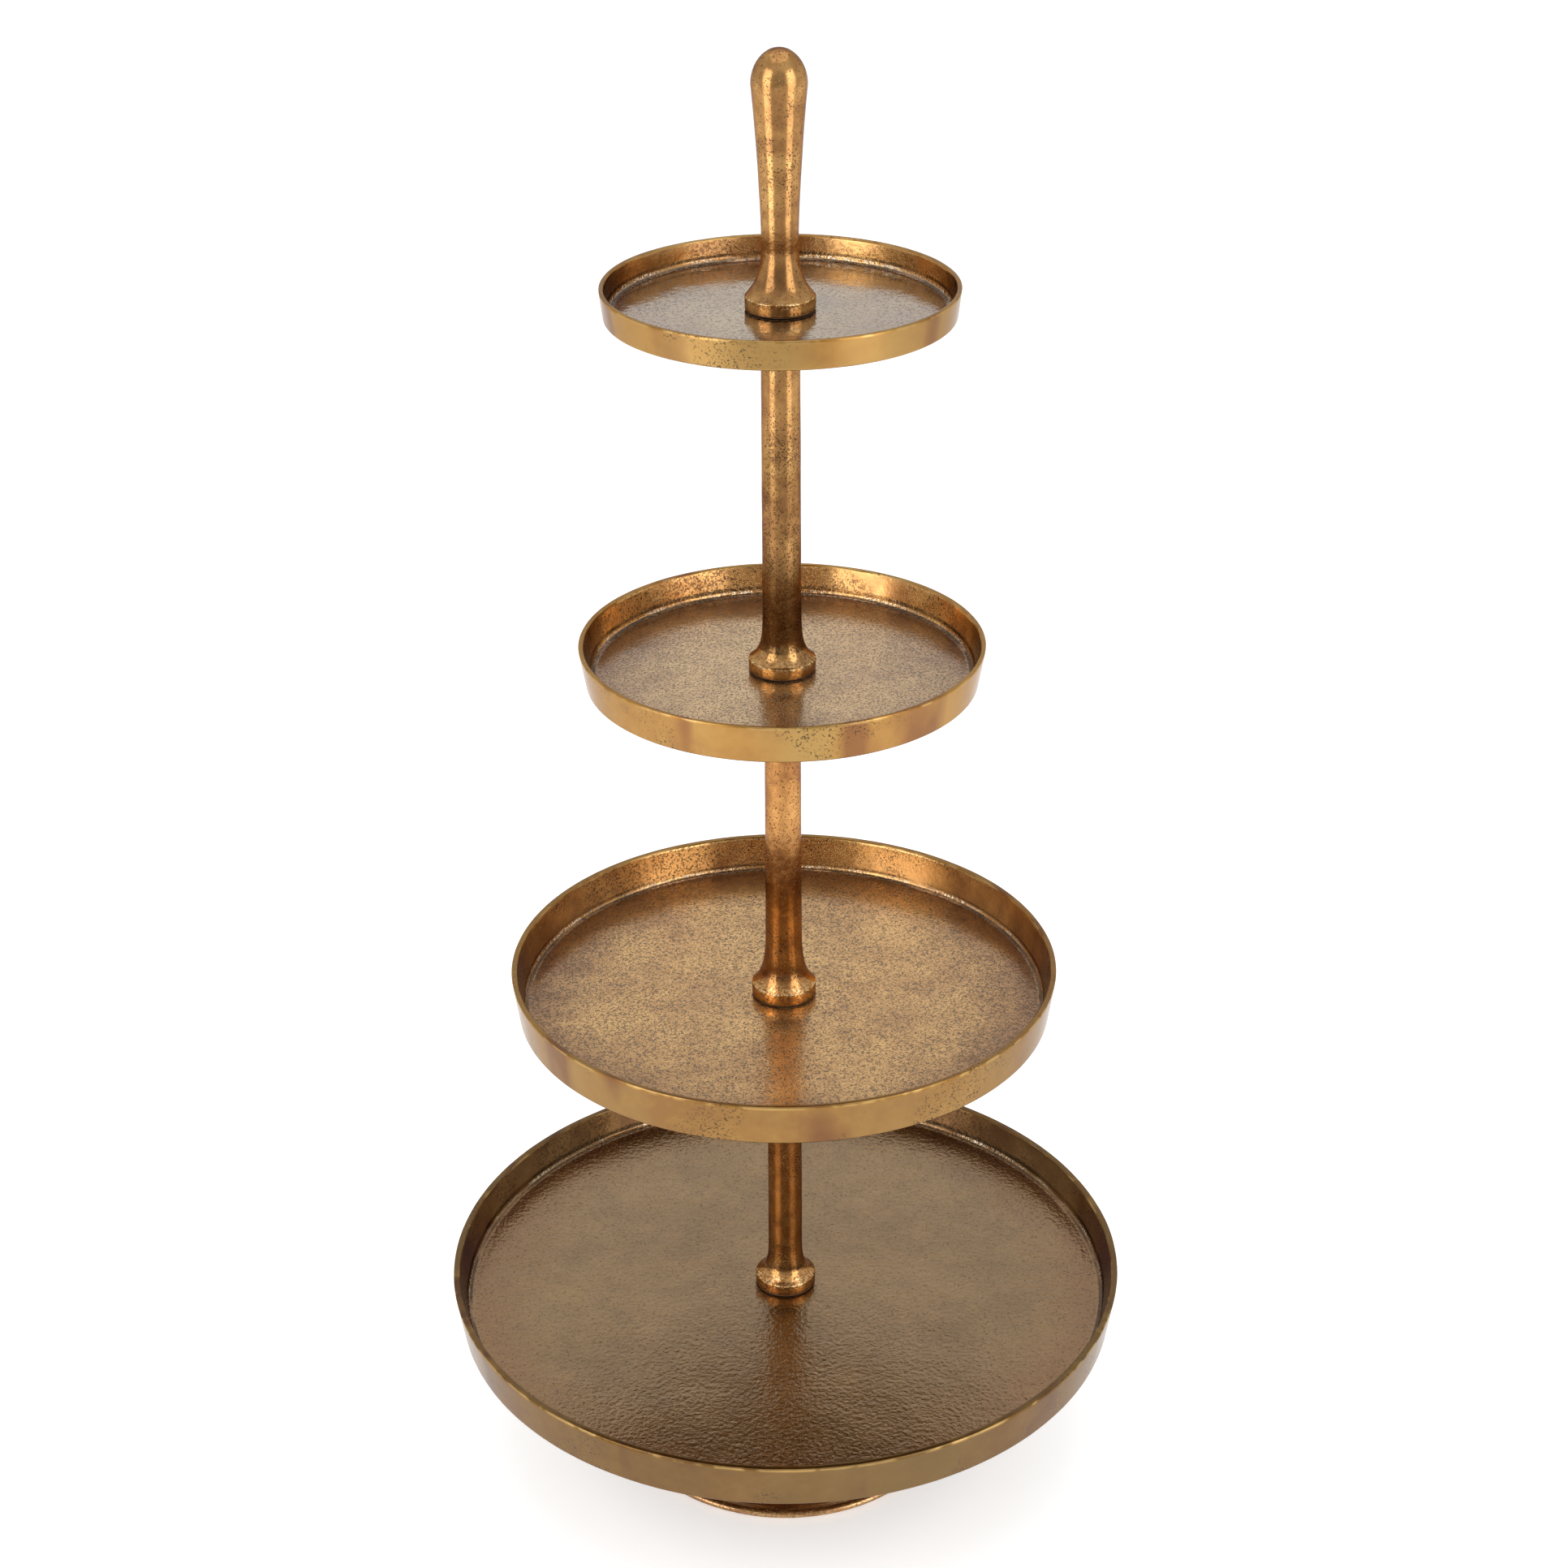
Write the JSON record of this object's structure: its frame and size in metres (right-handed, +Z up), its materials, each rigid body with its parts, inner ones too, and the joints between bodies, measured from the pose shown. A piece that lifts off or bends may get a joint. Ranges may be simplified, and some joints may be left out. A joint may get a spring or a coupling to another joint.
{
  "type": "tiered cake stand",
  "caption": "Tall cast metal cake stand in an antique brass finish: round trays that shrink upwards on a central stem, a low round foot and a grip on top.",
  "frame": {"origin": "centre of the bounding box at its lowest level, on the table under the stem axis, where the pads rest", "axes": "+Z up along the stem axis; the stand is turned about +Z, and -Y is taken as its front"},
  "size_m": [0.406, 0.406, 0.8613],
  "materials": {
    "cast_tray": "sand-cast with an antique brass coating, fine pits, brushed outer wall and bright worn rim",
    "cast_stem": "sand-cast with a polished antique brass coating, dark pits and bright worn edges",
    "cast_foot": "sand-cast with a dark antique brass coating and a coppery worn lip",
    "steel": "zinc-plated, threaded",
    "washer": "matte dark brown",
    "felt": "dark brown felt"
  },
  "bodies": {
    "base": {"foot": "cast_foot", "foot_pad_1": "felt", "foot_pad_2": "felt", "foot_pad_3": "felt", "foot_pad_4": "felt", "foot_washer": "steel", "foot_screw": "steel", "base_stem": "cast_stem", "tray_1": "cast_tray", "seat_washer_1": "washer"},
    "washer_1": {"collar_washer_1": "washer"},
    "section_1": {"stud_1": "steel", "stem_1": "cast_stem", "tray_2": "cast_tray", "seat_washer_2": "washer"},
    "washer_2": {"collar_washer_2": "washer"},
    "section_2": {"stud_2": "steel", "stem_2": "cast_stem", "tray_3": "cast_tray", "seat_washer_3": "washer"},
    "washer_3": {"collar_washer_3": "washer"},
    "section_3": {"stud_3": "steel", "stem_3": "cast_stem", "tray_4": "cast_tray", "seat_washer_4": "washer"},
    "washer_4": {"collar_washer_4": "washer"},
    "handle_section": {"stud_4": "steel", "handle": "cast_stem"}
  },
  "joints": [
    {"name": "section_1_unscrew", "type": "hinge", "parent": "washer_1", "child": "section_1", "pos_m": [0, 0, 0.1065], "axis": [0, 0, 1], "range_deg": [0, 4320]},
    {"name": "section_1_rise", "type": "slide", "parent": "base", "child": "washer_1", "axis": [0, 0, 1], "range_m": [0, 0.015]},
    {"name": "section_2_unscrew", "type": "hinge", "parent": "washer_2", "child": "section_2", "pos_m": [0, 0, 0.3125], "axis": [0, 0, 1], "range_deg": [0, 4320]},
    {"name": "section_2_rise", "type": "slide", "parent": "section_1", "child": "washer_2", "axis": [0, 0, 1], "range_m": [0, 0.015]},
    {"name": "section_3_unscrew", "type": "hinge", "parent": "washer_3", "child": "section_3", "pos_m": [0, 0, 0.5202], "axis": [0, 0, 1], "range_deg": [0, 4320]},
    {"name": "section_3_rise", "type": "slide", "parent": "section_2", "child": "washer_3", "axis": [0, 0, 1], "range_m": [0, 0.015]},
    {"name": "handle_section_unscrew", "type": "hinge", "parent": "washer_4", "child": "handle_section", "pos_m": [0, 0, 0.7263], "axis": [0, 0, 1], "range_deg": [0, 4320]},
    {"name": "handle_section_rise", "type": "slide", "parent": "section_3", "child": "washer_4", "axis": [0, 0, 1], "range_m": [0, 0.015]}
  ],
  "couplings": [
    {"joint": "section_1_rise", "follows": "section_1_unscrew", "m_per_rad": 0.0001989},
    {"joint": "section_2_rise", "follows": "section_2_unscrew", "m_per_rad": 0.0001989},
    {"joint": "section_3_rise", "follows": "section_3_unscrew", "m_per_rad": 0.0001989},
    {"joint": "handle_section_rise", "follows": "handle_section_unscrew", "m_per_rad": 0.0001989}
  ]
}
